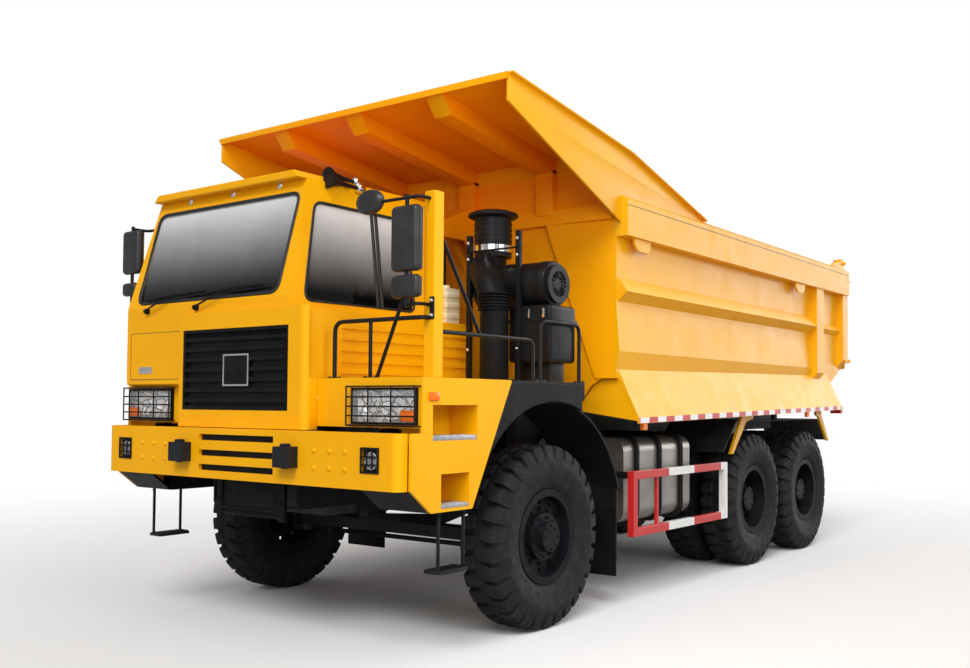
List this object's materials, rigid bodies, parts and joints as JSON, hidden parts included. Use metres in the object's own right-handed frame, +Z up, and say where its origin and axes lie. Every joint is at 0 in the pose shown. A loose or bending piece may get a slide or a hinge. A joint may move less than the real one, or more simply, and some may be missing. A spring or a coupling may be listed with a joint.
{
  "type": "mining dump truck",
  "caption": "Six-wheel-set rigid mining dump truck with offset cab, tipping bed and canopy, side steps, telescopic hoist and steered front wheels.",
  "frame": {"origin": "on the ground under the middle of the truck's length and width", "axes": "+X to the truck's left, +Y to its rear, +Z up"},
  "size_m": [3.5, 8.38, 4.019],
  "materials": {
    "amber_paint": "gloss",
    "chassis_paint": "satin",
    "wheel_paint": "satin",
    "tyre": "matte",
    "black_plastic": "matte",
    "black_paint": "satin",
    "black_rubber": "matte",
    "tread_plate": "satin",
    "tinted_glass": "gloss",
    "lamp_glass": "gloss",
    "seat_cloth": "matte",
    "cream_plastic": "satin",
    "tank_aluminium": "brushed",
    "red_paint": "gloss",
    "engine_iron": "matte",
    "lamp_red": "gloss",
    "hoist_chrome": "polished"
  },
  "bodies": {
    "chassis": {"front_beam": "chassis_paint", "rail_left": "chassis_paint", "rail_right": "chassis_paint", "cross_members": "chassis_paint", "bumper": "amber_paint", "fender_left": "amber_paint", "fender_right": "amber_paint", "wheel_arches": "black_plastic", "steps": "tread_plate", "handrails": "black_paint", "mirror_post": "amber_paint", "mirrors": "black_plastic", "cab_shell": "amber_paint", "cab_roof": "amber_paint", "cab_glass": "tinted_glass", "engine_cover": "amber_paint", "grille": "black_plastic", "engine": "engine_iron", "seats": "seat_cloth", "dash": "black_plastic", "air_cleaner": "black_paint", "expansion_tank": "cream_plastic", "fuel_tank": "tank_aluminium", "hydraulic_tank": "chassis_paint", "side_guards": "red_paint", "front_axle": "chassis_paint", "rear_bogie": "chassis_paint", "driveline": "chassis_paint", "headlamps": "lamp_glass"},
    "bed": {"bed_floor": "amber_paint", "bed_side_left": "amber_paint", "bed_side_right": "amber_paint", "bed_front": "amber_paint", "mudguards": "black_rubber", "bed_lamps": "lamp_red"},
    "tailgate": {"tailgate": "amber_paint"},
    "door": {"door": "amber_paint", "door_glass": "tinted_glass"},
    "knuckle_left": {"knuckle_left": "chassis_paint"},
    "knuckle_right": {"knuckle_right": "chassis_paint"},
    "tie_rod": {"tie_rod": "chassis_paint"},
    "wheel_front_left": {"rim_front_left": "wheel_paint", "tyre_front_left": "tyre"},
    "wheel_front_right": {"rim_front_right": "wheel_paint", "tyre_front_right": "tyre"},
    "wheel_mid_left": {"rims_mid_left": "wheel_paint", "tyres_mid_left": "tyre"},
    "wheel_mid_right": {"rims_mid_right": "wheel_paint", "tyres_mid_right": "tyre"},
    "wheel_rear_left": {"rims_rear_left": "wheel_paint", "tyres_rear_left": "tyre"},
    "wheel_rear_right": {"rims_rear_right": "wheel_paint", "tyres_rear_right": "tyre"},
    "hoist_barrel": {"hoist_barrel": "chassis_paint"},
    "hoist_stage_1": {"hoist_stage_1": "hoist_chrome"},
    "hoist_stage_2": {"hoist_stage_2": "hoist_chrome"},
    "hoist_rod": {"hoist_rod": "hoist_chrome"}
  },
  "joints": [
    {"name": "bed_tip", "type": "hinge", "parent": "chassis", "child": "bed", "pos_m": [0, 3.54, 1.33], "axis": [-1, 0, 0], "range_deg": [0, 48]},
    {"name": "tailgate_swing", "type": "hinge", "parent": "bed", "child": "tailgate", "pos_m": [0, 4.02, 3.48], "axis": [1, 0, 0], "range_deg": [0, 60]},
    {"name": "door_hinge", "type": "hinge", "parent": "chassis", "child": "door", "pos_m": [-1.531, -3.704, 2.17], "axis": [0, 0, 1], "range_deg": [0, 75]},
    {"name": "steer_left", "type": "hinge", "parent": "chassis", "child": "knuckle_left", "pos_m": [1.08, -2.45, 0.685], "axis": [0, 0, 1], "range_deg": [-32, 32]},
    {"name": "steer_right", "type": "hinge", "parent": "chassis", "child": "knuckle_right", "pos_m": [-1.08, -2.45, 0.685], "axis": [0, 0, 1], "range_deg": [-32, 32]},
    {"name": "tie_rod_slide", "type": "slide", "parent": "chassis", "child": "tie_rod", "axis": [1, 0, 0], "range_m": [-0.1508, 0.1508]},
    {"name": "hoist_pivot", "type": "hinge", "parent": "chassis", "child": "hoist_barrel", "pos_m": [0, -2.01, 1.33], "axis": [-1, 0, 0], "range_deg": [0, 30.97]},
    {"name": "hoist_slide_1", "type": "slide", "parent": "hoist_barrel", "child": "hoist_stage_1", "axis": [0, 0, 1], "range_m": [0, 1.4665]},
    {"name": "hoist_slide_2", "type": "slide", "parent": "hoist_stage_1", "child": "hoist_stage_2", "axis": [0, 0, 1], "range_m": [0, 1.4665]},
    {"name": "hoist_slide_3", "type": "slide", "parent": "hoist_stage_2", "child": "hoist_rod", "axis": [0, 0, 1], "range_m": [0, 1.4665]},
    {"name": "spin_front_left", "type": "hinge", "parent": "knuckle_left", "child": "wheel_front_left", "pos_m": [1.398, -2.45, 0.685], "axis": [1, 0, 0], "continuous": true},
    {"name": "spin_mid_left", "type": "hinge", "parent": "chassis", "child": "wheel_mid_left", "pos_m": [1.166, 1.37, 0.685], "axis": [1, 0, 0], "continuous": true},
    {"name": "spin_rear_left", "type": "hinge", "parent": "chassis", "child": "wheel_rear_left", "pos_m": [1.166, 2.86, 0.685], "axis": [1, 0, 0], "continuous": true},
    {"name": "spin_front_right", "type": "hinge", "parent": "knuckle_right", "child": "wheel_front_right", "pos_m": [-1.398, -2.45, 0.685], "axis": [1, 0, 0], "continuous": true},
    {"name": "spin_mid_right", "type": "hinge", "parent": "chassis", "child": "wheel_mid_right", "pos_m": [-1.166, 1.37, 0.685], "axis": [1, 0, 0], "continuous": true},
    {"name": "spin_rear_right", "type": "hinge", "parent": "chassis", "child": "wheel_rear_right", "pos_m": [-1.166, 2.86, 0.685], "axis": [1, 0, 0], "continuous": true}
  ],
  "couplings": [
    {"joint": "steer_right", "follows": "steer_left", "ratio": 1},
    {"joint": "tie_rod_slide", "follows": "steer_left", "m_per_rad": -0.27},
    {"joint": "hoist_pivot", "follows": "bed_tip", "ratio": 0.64517},
    {"joint": "hoist_slide_1", "follows": "bed_tip", "m_per_rad": 1.7505},
    {"joint": "hoist_slide_2", "follows": "bed_tip", "m_per_rad": 1.7505},
    {"joint": "hoist_slide_3", "follows": "bed_tip", "m_per_rad": 1.7505}
  ]
}
